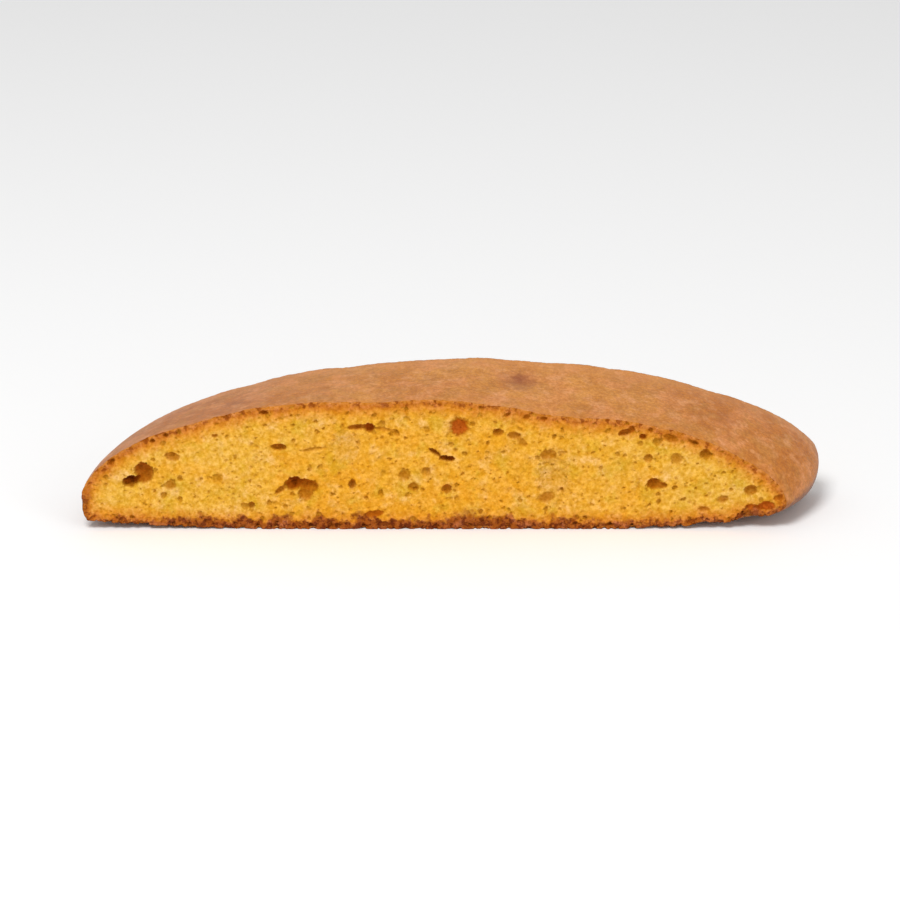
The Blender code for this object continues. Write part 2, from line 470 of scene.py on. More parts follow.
def crust_band():
    distances = row_distances()
    rings, feet, intos, fades, edges = [], [], [], [], []
    for distance in distances:
        at_front = distance < THICKNESS / 2
        edge = min(distance, THICKNESS - distance)
        hold = max(1 - edge / EDGE_FADE, 0.0) ** 1.5
        ring = into_box(outline(ways, distance / THICKNESS))
        ragged = ragged_front if at_front else ragged_back
        ring = ring + outward(ring) * (ragged * hold)[:, None]
        ring[:, 2] = np.maximum(ring[:, 2], 0)
        rings.append(ring)
        feet.append(front_border if at_front else back_border)
        intos.append(np.full(COLUMNS, 1.0 if at_front else -1.0))
        fades.append(np.full(COLUMNS, hold))
        edges.append(np.full(COLUMNS, edge))
    rings[0], rings[-1] = front_border, back_border
    lining = [hidden_ring(-1, depth, tightness) for depth, tightness in LINING_RINGS]
    lining += [hidden_ring(1, depth, tightness) for depth, tightness in LINING_RINGS[-2::-1]]
    outer_count = len(rings)
    hidden = COLUMNS * len(lining)
    points = np.concatenate(rings + lining)
    outer = ring_faces(outer_count, COLUMNS)
    inner = ring_faces(len(lining) + 2, COLUMNS, (outer_count - 1) * COLUMNS)
    inner = inner % len(points)
    values = {
        "foot": np.concatenate(feet + lining) * MM,
        "into": np.concatenate(intos + [np.ones(hidden)]),
        "fade": np.concatenate(fades + [np.zeros(hidden)]),
        "rind": np.zeros(len(points)),
        "edge": np.concatenate(edges + [np.zeros(hidden)]),
        "under": np.tile(under_columns, outer_count + len(lining)),
    }
    corner_map = np.concatenate(
        [crust_uv(distances), strip_uv(len(lining) + 2, COLUMNS, LINING_BAND)]
    )
    faces = outer.reshape(-1, 4).tolist() + inner.reshape(-1, 4).tolist()
    return make_piece("crust", points, faces, values, corner_map)


def crust_uv(distances):
    """The outer band in four strips, one above another, so that it fills the square."""
    long = COLUMNS // STRIPS
    column = np.arange(COLUMNS)[None, :] * np.ones((len(distances) - 1, 1))
    strip = column // long
    here = (column - strip * long) / long
    there = here + 1 / long
    near = distances[:-1, None] / THICKNESS * np.ones(COLUMNS)
    far = distances[1:, None] / THICKNESS * np.ones(COLUMNS)
    u = np.stack([here, here, there, there], axis=2) * 0.99 + 0.005
    across = np.stack([near, far, far, near], axis=2)
    height = (OUTER_BAND[1] - OUTER_BAND[0]) / STRIPS
    v = OUTER_BAND[0] + height * (strip[:, :, None] + across * 0.985)
    return np.stack([u, v], axis=3).reshape(-1, 2)


crust = crust_band()
print("Points in the crust:", len(crust.data.vertices))

# %% [markdown]
# ## Small helpers for node trees
# Geometry and shader trees are wired the same way. `put` adds a node and feeds its inputs, each
# with a plain value or with another node's output, and `reckon` and `reckon3` are sums on numbers
# and on vectors. They keep the trees below as short as the thoughts behind them.


# %% Node helpers
def feed(tree, socket, value):
    if isinstance(value, bpy.types.NodeSocket):
        tree.links.new(value, socket)
    else:
        socket.default_value = value


def put(tree, kind, feeds=None, **settings):
    node = tree.nodes.new(kind)
    for name, value in settings.items():
        setattr(node, name, value)
    for key, value in (feeds or {}).items():
        feed(tree, node.inputs[key], value)
    return node


def reckon(tree, operation, *values, clamp=False):
    feeds = dict(enumerate(values))
    return put(tree, "ShaderNodeMath", feeds, operation=operation, use_clamp=clamp).outputs[0]


def reckon3(tree, operation, *values):
    """A vector sum. SCALE takes a vector and a number."""
    keys = (0, "Scale") if operation == "SCALE" else range(len(values))
    node = put(tree, "ShaderNodeVectorMath", dict(zip(keys, values)), operation=operation)
    return node.outputs["Value" if operation in ("LENGTH", "DOT_PRODUCT") else "Vector"]


def parts_of(tree, vector):
    return put(tree, "ShaderNodeSeparateXYZ", {0: vector}).outputs


def vector_of(tree, x, y, z):
    return put(tree, "ShaderNodeCombineXYZ", {0: x, 1: y, 2: z}).outputs[0]


def slide(tree, value, start, stop, low=0.0, high=1.0, smooth=True):
    """Turns start..stop into low..high, and holds it there outside that stretch."""
    kind = "SMOOTHSTEP" if smooth else "LINEAR"
    feeds = {0: value, 1: start, 2: stop, 3: low, 4: high}
    return put(tree, "ShaderNodeMapRange", feeds, interpolation_type=kind).outputs[0]


def noise(tree, vector, wave, detail=2.0, roughness=0.5, colour=False):
    """Noise whose blotches are about `wave` millimetres across, on coordinates in metres."""
    feeds = {"Vector": vector, "Scale": 1 / (wave * MM), "Detail": detail, "Roughness": roughness}
    return put(tree, "ShaderNodeTexNoise", feeds).outputs["Color" if colour else "Fac"]


def attribute(tree, name, kind="FLOAT"):
    """A stored attribute, read inside a geometry tree."""
    return put(tree, "GeometryNodeInputNamedAttribute", {"Name": name}, data_type=kind).outputs[0]


def new_tree(name, inputs, outputs):
    """A geometry tree with named inputs and outputs, each given as (name, kind, default)."""
    tree = bpy.data.node_groups.new(name, "GeometryNodeTree")
    for direction, sockets in (("INPUT", inputs), ("OUTPUT", outputs)):
        for label, kind, default in sockets:
            socket = tree.interface.new_socket(label, in_out=direction, socket_type=kind)
            if default is not None:
                socket.default_value = default
    return tree, tree.nodes.new("NodeGroupInput"), tree.nodes.new("NodeGroupOutput")


# %% [markdown]
# ## Pores
# Gas makes round bubbles all through the dough, and the knife opens the ones it meets. So pores
# aren't painted on a cut face: the tree fills space with balls and works out what a straight cut
# through them leaves. Voronoi cells give the balls' centres, one in each cell, and each cell's
# random colour gives its ball a size and says whether there is one at all.
#
# For a point of the cut inside a ball, the hollow reaches the ball's far wall. With `gap` the
# vector from the centre, `deep` its part along the way into the dough and `r` the radius, that
# is sqrt(r * r - (gap * gap - deep * deep)) - deep. A centre behind the cut gives a steep-sided
# hole, and one in front of it a shallow dish, just as in real crumb. The torn walls fall
# in a little, so no pore is left much deeper than half the width of its opening.

# %% A tree for one size of pore
pore_tree, given, result = new_tree(
    "Pores of one size",
    (
        ("Foot", "NodeSocketVector", None),
        ("Into", "NodeSocketFloat", 1.0),
        ("Cell", "NodeSocketFloat", 0.002),
        ("Smallest Radius", "NodeSocketFloat", 0.0003),
        ("Largest Radius", "NodeSocketFloat", 0.0007),
        ("Share Filled", "NodeSocketFloat", 0.5),
        ("Unevenness", "NodeSocketFloat", 0.0002),
        ("Seed", "NodeSocketFloat", 0.0),
    ),
    (("Depth", "NodeSocketFloat", None),),
)
wanted = given.outputs
frequency = reckon(pore_tree, "DIVIDE", 1.0, wanted["Cell"])
bend_scale = reckon(pore_tree, "MULTIPLY", frequency, 1.6)
bend = put(pore_tree, "ShaderNodeTexNoise", {"Vector": wanted["Foot"], "Scale": bend_scale})
bend = reckon3(pore_tree, "SUBTRACT", bend.outputs["Color"], (0.5, 0.5, 0.5))
bend = reckon3(pore_tree, "SCALE", bend, reckon(pore_tree, "MULTIPLY", wanted["Unevenness"], 3.0))
moved = reckon3(pore_tree, "ADD", wanted["Foot"], bend)
moved = reckon3(pore_tree, "ADD", moved, vector_of(pore_tree, wanted["Seed"], 0.0, wanted["Seed"]))
cells = put(pore_tree, "ShaderNodeTexVoronoi", {"Vector": moved, "Scale": frequency})
gap = reckon3(pore_tree, "SUBTRACT", moved, cells.outputs["Position"])
luck = parts_of(pore_tree, cells.outputs["Color"])
bigness = reckon(pore_tree, "MULTIPLY", luck[0], luck[0])
radius = slide(
    pore_tree, bigness, 0.0, 1.0, wanted["Smallest Radius"], wanted["Largest Radius"], smooth=False
)
deep = reckon(pore_tree, "MULTIPLY", parts_of(pore_tree, gap)[1], wanted["Into"])
gap_squared = reckon3(pore_tree, "DOT_PRODUCT", gap, gap)
radius_squared = reckon(pore_tree, "MULTIPLY", radius, radius)
inside_ball = reckon(pore_tree, "LESS_THAN", gap_squared, radius_squared)
filled = reckon(pore_tree, "LESS_THAN", luck[1], wanted["Share Filled"])
beside = reckon(pore_tree, "SUBTRACT", gap_squared, reckon(pore_tree, "MULTIPLY", deep, deep))
far_wall = reckon(pore_tree, "SQRT", reckon(pore_tree, "SUBTRACT", radius_squared, beside))
hollow = reckon(pore_tree, "SUBTRACT", far_wall, deep)
at_cut = reckon(pore_tree, "SUBTRACT", radius_squared, reckon(pore_tree, "MULTIPLY", deep, deep))
opening = reckon(pore_tree, "MULTIPLY", reckon(pore_tree, "SQRT", at_cut), 1.1)
hollow = reckon(pore_tree, "MINIMUM", hollow, opening)
towards_rim = reckon(pore_tree, "DIVIDE", beside, at_cut)
hollow = reckon(pore_tree, "MULTIPLY", hollow, slide(pore_tree, towards_rim, 1.0, 0.45))
hollow = reckon(pore_tree, "MULTIPLY", hollow, inside_ball)
feed(pore_tree, result.inputs["Depth"], reckon(pore_tree, "MULTIPLY", hollow, filled))

# %% [markdown]
# ## The large bubbles
# A few large bubbles give the slice its face: a double hollow at the left, a torn cavity, two
# cracks under the crown, a wide sunken patch. They have known places, so they are listed, and the
# back cut gets as many drawn at random. Each becomes one point that carries its sizes. A repeat
# zone visits the points one by one and keeps the deepest hollow, so the tree is written once
# however many bubbles there are. A bubble's stored shade is made stronger under its upper lip,
# so its roof gets painted shade and is coloured darker than its floor.

# %% Where the large bubbles are
# Place along and up the face, half width, half height, depth (mm), lean (degrees), how soft the
# rim is (0.5 is a ball cut open, and more is a dent that fades out), and how browned the wall is
# (1.5 is browned to red, and below 0 it is duller than the crumb).
FRONT_BUBBLES = (
    (-53.1, 11.2, 1.7, 2.1, 1.5, 20, 0.55, 0.8),
    (-55.4, 9.5, 1.6, 1.15, 2.3, 20, 0.4, 1.0),
    (-54.2, 9.9, 0.9, 0.8, 1.6, 0, 0.5, 0.9),
    (-47.8, 14.4, 1.5, 1.0, 0.7, 0, 0.75, 0.5),
    (-48.3, 8.6, 1.2, 1.2, 0.6, 0, 0.8, 0.35),
    (-39.6, 10.1, 1.1, 1.1, 0.4, 0, 0.8, 0.1),
    (-28.2, 16.3, 1.5, 0.7, 1.1, -5, 0.5, 0.6),
    (-25.4, 9.0, 1.7, 1.3, 1.8, 10, 0.45, 1.0),
    (-23.5, 8.9, 1.5, 1.15, 1.5, 0, 0.5, 0.9),
    (-22.4, 8.5, 1.35, 1.25, 1.1, -5, 0.5, 0.7),
    (-23.3, 7.0, 1.5, 1.5, 0.9, 0, 0.7, 0.55),
    (-28.0, 7.8, 1.4, 0.55, 0.7, 38, 0.6, 0.5),
    (-22.0, 15.8, 2.8, 0.5, 0.35, 9, 0.8, 0.25),
    (-14.7, 8.9, 0.7, 1.0, 1.1, 0, 0.5, 0.4),
    (-13.2, 20.2, 2.3, 0.6, 0.9, 4, 0.7, 0.8),
    (-11.4, 20.0, 1.1, 1.0, 1.4, 0, 0.5, 1.1),
    (-8.9, 19.8, 2.4, 0.45, 0.45, -8, 0.75, 0.4),
    (-6.4, 19.0, 1.0, 0.5, 0.4, -50, 0.75, 0.3),
    (0.6, 15.2, 1.4, 0.4, 1.2, -36, 0.5, 0.6),
    (2.8, 14.0, 1.5, 0.6, 1.7, -8, 0.45, 0.9),
    (5.0, 20.3, 2.1, 2.4, 0.5, 0, 0.85, 1.5),
    (12.2, 19.1, 1.0, 0.8, 0.8, 0, 0.55, 0.5),
    (15.2, 18.5, 1.2, 0.8, 0.7, -10, 0.6, 0.5),
    (16.6, 17.2, 1.3, 0.8, 0.4, -40, 0.7, 0.3),
    (22.6, 9.6, 3.4, 6.2, 1.0, 0, 1.1, -0.5),
    (21.1, 6.2, 1.9, 1.3, 0.6, 0, 0.9, 0.5),
    (21.5, 14.6, 1.8, 1.1, 0.8, 0, 0.75, 0.4),
    (24.0, 15.1, 1.0, 0.5, 0.4, 0, 0.75, 0.2),
    (-15.8, 16.4, 3.2, 3.6, 0.5, 0, 1.2, -0.6),
    (41.0, 9.0, 1.5, 1.3, 1.1, 0, 0.55, 0.75),
    (42.3, 8.7, 1.2, 0.75, 0.9, -10, 0.55, 0.7),
    (45.2, 13.9, 1.3, 1.4, 0.6, 0, 0.85, 0.3),
    (39.9, 13.9, 0.9, 1.0, 0.7, 0, 0.75, 0.3),
    (50.5, 14.9, 1.2, 1.0, 1.1, -10, 0.5, 0.35),
    (59.0, 7.7, 1.3, 1.1, 0.9, 0, 0.75, 0.45),
    (53.7, 5.9, 1.3, 0.9, 0.5, 0, 0.88, 0.5),
    (50.4, 4.0, 1.2, 0.6, 0.4, 0, 0.85, 0.6),
    (61.9, 4.6, 1.9, 0.9, 0.6, 5, 0.7, 1.3),
    (59.6, 4.3, 1.6, 0.7, 0.5, 0, 0.7, 1.1),
    (64.0, 6.3, 1.0, 0.6, 0.4, 20, 0.7, 0.8),
    (35.6, 19.1, 1.3, 0.7, 1.0, 20, 0.5, 0.8),
    (36.8, 19.8, 0.6, 0.6, 0.8, 0, 0.5, 0.9),
    (38.8, 18.3, 0.65, 0.6, 1.0, 0, 0.5, 0.95),
    (40.3, 19.6, 0.5, 0.6, 0.6, 0, 0.6, 0.6),
    (43.9, 18.0, 1.35, 0.85, 0.7, -18, 0.6, 0.6),
    (17.5, 22.2, 0.8, 0.5, 0.6, 20, 0.6, 0.7),
    (20.6, 21.9, 0.6, 0.5, 0.6, 0, 0.6, 0.8),
    (13.8, 22.6, 0.9, 0.4, 0.5, 25, 0.6, 0.6),
    (-39.9, 18.5, 0.6, 0.4, 0.5, 0, 0.6, 0.5),
    (-10.6, 3.0, 2.0, 0.8, 0.5, 10, 0.7, 1.0),
    (48.1, 17.2, 1.2, 0.45, 0.8, -20, 0.5, 0.6),
    (-59.1, 13.4, 0.9, 0.6, 0.9, 35, 0.5, 0.8),
    (-48.9, 18.6, 0.5, 0.45, 0.8, 0, 0.5, 0.6),
    (-51.4, 17.5, 0.5, 0.5, 0.8, 0, 0.5, 0.6),
    (-38.1, 22.4, 0.6, 0.5, 0.8, 0, 0.5, 0.8),
    (-30.7, 23.0, 0.9, 0.45, 0.8, 0, 0.5, 0.9),
    (-5.0, 10.6, 1.4, 1.3, 0.5, 0, 0.88, 0.35),
    (-1.0, 11.4, 0.8, 1.0, 0.7, 0, 0.6, 0.2),
    (-3.4, 8.3, 1.2, 1.1, 0.7, 0, 0.8, 0.45),
    (2.8, 8.0, 0.95, 0.9, 0.9, 0, 0.5, 0.6),
    (-33.3, 4.7, 0.65, 0.7, 0.9, 0, 0.5, 0.4),
)
BACK_BUBBLE_COUNT = 34


def place_on_cut(along, up, station):
    """The point of the box that a place on the unplaced outline moves to."""
    y = THICKNESS * (station - 0.5)
    return into_box(np.array([[along + SLANT * station, y, up]]))[0]


def scattered_bubbles(face, cut_y, count, seed):
    """Random bubbles on a cut face, kept off the crust and off each other."""
    draw = np.random.default_rng(seed)
    flat, _, distance, _ = face
    found = []
    while len(found) < count:
        wide = 0.6 + 1.7 * draw.random() ** 1.5
        pick = draw.integers(len(flat))
        x, z = flat[pick]
        apart = [math.hypot(x - b[0], z - b[2]) > wide + b[3] + 1 for b in found]
        if distance[pick] < wide + 0.8 or not all(apart):
            continue
        high = wide * draw.uniform(0.45, 1.0)
        depth = high * draw.uniform(0.7, 1.3)
        lean = draw.uniform(-30, 30)
        softness, browned = draw.uniform(0.45, 0.8), draw.uniform(0.1, 0.9)
        found.append((x, cut_y, z, wide, high, depth, lean, softness, browned))
    return found


def bubble_points(name, bubbles):
    """One loose point for each bubble, with its sizes as attributes, in metres and radians."""
    table = np.array(bubbles)
    mesh = bpy.data.meshes.new(name)
    mesh.from_pydata((table[:, :3] * MM).tolist(), [], [])
    size = mesh.attributes.new("size", "FLOAT_VECTOR", "POINT")
    size.data.foreach_set("vector", (table[:, 3:6] * MM).ravel())
    single = {"lean": np.radians(table[:, 6]), "softness": table[:, 7], "browned": table[:, 8]}
    for label, values in single.items():
        mesh.attributes.new(label, "FLOAT", "POINT").data.foreach_set("value", values)
    obj = bpy.data.objects.new(name, mesh)
    bpy.context.scene.collection.objects.link(obj)
    return obj


front_list = [(*place_on_cut(b[0], b[1], 0.0), *b[2:]) for b in FRONT_BUBBLES]
back_list = scattered_bubbles(back_face, back_border[0, 1], BACK_BUBBLE_COUNT, 11)
bubbles = bubble_points("bubbles", front_list + back_list)
print("Large bubbles:", len(front_list), "at the front,", len(back_list), "at the back")

# %% A tree that hollows out every listed bubble
bubble_tree, given, result = new_tree(
    "Large bubbles",
    (
        ("Foot", "NodeSocketVector", None),
        ("Bubbles", "NodeSocketGeometry", None),
        ("Count", "NodeSocketInt", 1),
        ("Ragged Rim", "NodeSocketFloat", 1.1),
    ),
    (
        ("Depth", "NodeSocketFloat", None),
        ("Shade", "NodeSocketFloat", None),
        ("Browned", "NodeSocketFloat", None),
        ("Paled", "NodeSocketFloat", None),
    ),
)
KEPT = ("Depth", "Shade", "Browned", "Paled")
first = put(bubble_tree, "GeometryNodeRepeatInput")
last = put(bubble_tree, "GeometryNodeRepeatOutput")
first.pair_with_output(last)
for label in KEPT:
    last.repeat_items.new("FLOAT", label)
feed(bubble_tree, first.inputs["Iterations"], given.outputs["Count"])
feed(bubble_tree, first.inputs["Geometry"], given.outputs["Bubbles"])


def of_this_bubble(value, kind):
    feeds = {"Geometry": first.outputs["Geometry"], "Value": value, "Index": first.outputs["Iteration"]}
    return put(bubble_tree, "GeometryNodeSampleIndex", feeds, data_type=kind).outputs["Value"]


centre = of_this_bubble(put(bubble_tree, "GeometryNodeInputPosition").outputs[0], "FLOAT_VECTOR")
size = parts_of(bubble_tree, of_this_bubble(attribute(bubble_tree, "size", "FLOAT_VECTOR"), "FLOAT_VECTOR"))
lean = of_this_bubble(attribute(bubble_tree, "lean"), "FLOAT")
softness = of_this_bubble(attribute(bubble_tree, "softness"), "FLOAT")
browned = of_this_bubble(attribute(bubble_tree, "browned"), "FLOAT")
away = parts_of(bubble_tree, reckon3(bubble_tree, "SUBTRACT", given.outputs["Foot"], centre))
cosine = reckon(bubble_tree, "COSINE", lean)
sine = reckon(bubble_tree, "SINE", lean)
along = reckon(
    bubble_tree,
    "ADD",
    reckon(bubble_tree, "MULTIPLY", away[0], cosine),
    reckon(bubble_tree, "MULTIPLY", away[2], sine),
)
upward = reckon(
    bubble_tree,
    "SUBTRACT",
    reckon(bubble_tree, "MULTIPLY", away[2], cosine),
    reckon(bubble_tree, "MULTIPLY", away[0], sine),
)
wide = reckon(bubble_tree, "DIVIDE", along, size[0])
high = reckon(bubble_tree, "DIVIDE", upward, size[1])
nearness = reckon3(bubble_tree, "LENGTH", vector_of(bubble_tree, wide, high, 0.0))
rim_noise = noise(bubble_tree, given.outputs["Foot"], 1.3, 4.0, 0.65)
rim_noise = reckon(bubble_tree, "SUBTRACT", rim_noise, 0.5)
rim_noise = reckon(bubble_tree, "MULTIPLY", rim_noise, given.outputs["Ragged Rim"])
nearness = reckon(bubble_tree, "ADD", nearness, rim_noise)
nearness = reckon(bubble_tree, "MULTIPLY", nearness, nearness)
same_side = reckon(bubble_tree, "LESS_THAN", reckon(bubble_tree, "ABSOLUTE", away[1]), 0.001)
inner = reckon(bubble_tree, "MAXIMUM", reckon(bubble_tree, "SUBTRACT", 1.0, nearness), 0.0)
hollow = reckon(bubble_tree, "POWER", inner, softness)
hollow = reckon(bubble_tree, "MULTIPLY", hollow, size[2])
hollow = reckon(bubble_tree, "MULTIPLY", hollow, same_side)
# Painted shade: the stored shade is stronger under a bubble's upper lip, where less light reaches.
lip_painted_shade = slide(bubble_tree, high, -0.8, 0.6, 0.35, 1.25)
shade_of_it = reckon(bubble_tree, "MULTIPLY", hollow, slide(bubble_tree, softness, 0.9, 1.0, 1.0, 0.0))
shade_of_it = reckon(bubble_tree, "MULTIPLY", shade_of_it, lip_painted_shade)
tint = reckon(bubble_tree, "MULTIPLY", browned, same_side)
browned_from = slide(bubble_tree, softness, 0.7, 0.9, 0.4, 1.0)
browned = reckon(bubble_tree, "MULTIPLY", tint, slide(bubble_tree, inner, 0.0, browned_from))
paled = reckon(bubble_tree, "MULTIPLY", tint, slide(bubble_tree, inner, 0.0, 0.7, 0.0, -1.0))
feed(bubble_tree, last.inputs["Geometry"], first.outputs["Geometry"])
for label, value in zip(KEPT, (hollow, shade_of_it, browned, paled)):
    most = reckon(bubble_tree, "MAXIMUM", value, first.outputs[label])
    feed(bubble_tree, last.inputs[label], most)
    feed(bubble_tree, result.inputs[label], last.outputs[label])

# %% [markdown]
# ## Opening the crumb
# The main tree puts the sizes together. It starts from the knife's own slight waviness, presses
# in the large bubbles, and then looks up three sizes of pore from the floor of what is already
# hollow, so a large bubble has small pores in its wall. A fine grain roughens what is left. Near
# the crust the crumb is set tighter, so the pores are shallower there, and none goes deeper than
# twice its distance from the crust: the crust leans inwards behind the cut, and a deeper pore
# would break out through it.
#
# The same tree runs on the crust, where `fade` lets only the torn edge follow the pores. Because
# both read the same foot points, the two pieces move together and stay closed.

# %% The tree that opens the crumb
# Cell, smallest and largest radius (mm), share filled, unevenness (mm), steepness, seed.
POROUS = (
    ("Coarse pores", 2.8, 0.42, 0.95, 0.50, 0.45, 0.75, 0.013),
    ("Middling pores", 1.5, 0.28, 0.62, 0.75, 0.30, 0.75, 0.031),
    ("Fine pores", 0.9, 0.20, 0.38, 0.70, 0.15, 0.60, 0.057),
)
DEPTH_AT_CRUST = 0.06
DEPTH_PER_RIND = 2.0
crumb_tree, given, result = new_tree(
    "Open crumb",
    (
        ("Geometry", "NodeSocketGeometry", None),
        ("Bubbles", "NodeSocketObject", None),
        ("Bubble Count", "NodeSocketInt", 1),
        ("Knife Waviness", "NodeSocketFloat", 0.00012),
        ("Pore Depth", "NodeSocketFloat", 1.0),
        ("Grain Height", "NodeSocketFloat", 0.00025),
        ("Base Tearing", "NodeSocketFloat", 0.0008),
        ("Skin Grain", "NodeSocketFloat", 0.00006),
        ("Skin Lumps", "NodeSocketFloat", 0.0001),
        ("Material", "NodeSocketMaterial", None),
    ),
    (("Geometry", "NodeSocketGeometry", None),),
)
wanted = given.outputs
foot = attribute(crumb_tree, "foot", "FLOAT_VECTOR")
into = attribute(crumb_tree, "into")
fade = attribute(crumb_tree, "fade")
rind = attribute(crumb_tree, "rind")
listed = put(crumb_tree, "GeometryNodeObjectInfo", {"Object": wanted["Bubbles"]})
large = put(crumb_tree, "GeometryNodeGroup", node_tree=bubble_tree)
feed(crumb_tree, large.inputs["Foot"], foot)
feed(crumb_tree, large.inputs["Bubbles"], listed.outputs["Geometry"])
feed(crumb_tree, large.inputs["Count"], wanted["Bubble Count"])
bubble_depth = large.outputs["Depth"]
floor_y = reckon(crumb_tree, "MULTIPLY", bubble_depth, into)
floor_point = reckon3(crumb_tree, "ADD", foot, vector_of(crumb_tree, 0.0, floor_y, 0.0))
pore_depth = None
for label, cell, smallest, largest, share, uneven, steepness, seed in POROUS:
    pores = put(crumb_tree, "GeometryNodeGroup", node_tree=pore_tree, label=label)
    feeds = (floor_point, into, cell * MM, smallest * MM, largest * MM, share, uneven * MM, seed)
    for socket, value in zip(pores.inputs, feeds):
        feed(crumb_tree, socket, value)
    opened = reckon(crumb_tree, "MULTIPLY", pores.outputs["Depth"], steepness)
    pore_depth = opened if pore_depth is None else reckon(crumb_tree, "MAXIMUM", pore_depth, opened)
set_tight = slide(crumb_tree, rind, 0.0, 0.8, 0.1, 1.0)
pore_depth = reckon(crumb_tree, "MULTIPLY", pore_depth, wanted["Pore Depth"])
hollow = reckon(crumb_tree, "ADD", bubble_depth, pore_depth)
hollow = reckon(crumb_tree, "MULTIPLY", hollow, set_tight)
deepest = reckon(crumb_tree, "MULTIPLY", rind, DEPTH_PER_RIND * MM)
deepest = reckon(crumb_tree, "ADD", deepest, DEPTH_AT_CRUST * MM)
hollow = reckon(crumb_tree, "MINIMUM", hollow, deepest)
shaded = reckon(crumb_tree, "ADD", large.outputs["Shade"], pore_depth)
shaded = reckon(crumb_tree, "MULTIPLY", shaded, set_tight)
knife = reckon(crumb_tree, "SUBTRACT", noise(crumb_tree, foot, 9.0), 0.5)
knife = reckon(crumb_tree, "MULTIPLY", knife, wanted["Knife Waviness"])
sponge = noise(crumb_tree, floor_point, 0.9, 3.0, 0.7)
grain = reckon(crumb_tree, "SUBTRACT", 0.5, sponge)
grain = reckon(crumb_tree, "MULTIPLY", grain, wanted["Grain Height"])
near_rind = slide(crumb_tree, rind, 0.0, 0.5, 0.4, 1.5)
near_rind = reckon(crumb_tree, "MINIMUM", near_rind, slide(crumb_tree, rind, 2.6, 0.6, 1.0, 1.5))
grain = reckon(crumb_tree, "MULTIPLY", grain, near_rind)
rough = reckon(crumb_tree, "MULTIPLY", reckon(crumb_tree, "ADD", knife, grain), 2.0)
torn = slide(crumb_tree, noise(crumb_tree, foot, 1.6, 3.0, 0.6), 0.48, 0.66)
torn = reckon(crumb_tree, "MULTIPLY", torn, slide(crumb_tree, rind, 2.2, 0.4))
torn = reckon(crumb_tree, "MULTIPLY", torn, attribute(crumb_tree, "under"))
torn = reckon(crumb_tree, "MULTIPLY", torn, wanted["Base Tearing"])
inward = reckon(crumb_tree, "ADD", reckon(crumb_tree, "ADD", hollow, rough), torn)
inward = reckon(crumb_tree, "MULTIPLY", reckon(crumb_tree, "MULTIPLY", inward, fade), into)
crumb_move = vector_of(crumb_tree, 0.0, inward, 0.0)

# %% [markdown]
# The crust's own surface is closed but not smooth: low lumps where the dough rose unevenly, a
# fine pebbled grain from drying, and here and there a pinhole where steam got out. Those move
# along the surface's normal, away from the cut edges, where `skin` is 0.

# %% Relief of the crust, in the same tree
skin = attribute(crumb_tree, "skin")
here = put(crumb_tree, "GeometryNodeInputPosition").outputs[0]
normal = put(crumb_tree, "GeometryNodeInputNormal").outputs[0]
lumps = reckon(crumb_tree, "SUBTRACT", noise(crumb_tree, here, 6.5, 2.0), 0.5)
lumps = reckon(crumb_tree, "MULTIPLY", lumps, wanted["Skin Lumps"])
pebbles = reckon(crumb_tree, "SUBTRACT", noise(crumb_tree, here, 0.8, 3.0, 0.65), 0.5)
pebbles = reckon(crumb_tree, "MULTIPLY", pebbles, wanted["Skin Grain"])
relief = reckon(crumb_tree, "MULTIPLY", reckon(crumb_tree, "ADD", lumps, pebbles), 2.0)
pinholes = put(crumb_tree, "ShaderNodeTexVoronoi", {"Vector": here, "Scale": 1 / (3.4 * MM)})
pinhole = slide(crumb_tree, pinholes.outputs["Distance"], 0.05, 0.10, 0.00012, 0.0)
chosen = reckon(crumb_tree, "LESS_THAN", parts_of(crumb_tree, pinholes.outputs["Color"])[0], 0.5)
pinhole = reckon(crumb_tree, "MULTIPLY", pinhole, chosen)
relief = reckon(crumb_tree, "MULTIPLY", reckon(crumb_tree, "SUBTRACT", relief, pinhole), skin)
skin_move = reckon3(crumb_tree, "SCALE", normal, relief)
move = reckon3(crumb_tree, "ADD", crumb_move, skin_move)
goal = parts_of(crumb_tree, reckon3(crumb_tree, "ADD", here, move))
resting = vector_of(crumb_tree, goal[0], goal[1], reckon(crumb_tree, "MAXIMUM", goal[2], 0.0))
placed = put(
    crumb_tree, "GeometryNodeSetPosition", {"Geometry": wanted["Geometry"], "Position": resting}
)
# The stored depth carries the bubbles' shade, stronger under their lips; the materials paint shade from it.
shade_depth_mm = reckon(crumb_tree, "MULTIPLY", reckon(crumb_tree, "MULTIPLY", shaded, fade), 1000.0)
told = (
    ("depth", shade_depth_mm),
    ("browned", reckon(crumb_tree, "MULTIPLY", large.outputs["Browned"], fade)),
    ("paled", reckon(crumb_tree, "MULTIPLY", large.outputs["Paled"], fade)),
    ("sponge", sponge),
)
remembered = placed.outputs[0]
for label, value in told:
    feeds = {"Geometry": remembered, "Name": label, "Value": value}
    remembered = put(crumb_tree, "GeometryNodeStoreNamedAttribute", feeds).outputs[0]
solid = put(crumb_tree, "GeometryNodeRealizeInstances", {0: remembered})
finished = put(
    crumb_tree,
    "GeometryNodeSetMaterial",
    {"Geometry": solid.outputs[0], "Material": wanted["Material"]},
)
feed(crumb_tree, result.inputs["Geometry"], finished.outputs[0])


# %% [markdown]
# ## Colours
# Baked colours are named once, as they look on a well-lit slice. Blender's shaders work with
# linear light, so each colour is turned from its everyday form into linear values.


# %% Colours of the bake
def shade(red, green, blue):
    """An everyday colour, 0 to 255, as the linear colour that a shader takes."""
    share = np.array([red, green, blue]) / 255
    linear = np.where(share > 0.04045, ((share + 0.055) / 1.055) ** 2.4, share / 12.92)
    return (*linear.tolist(), 1.0)


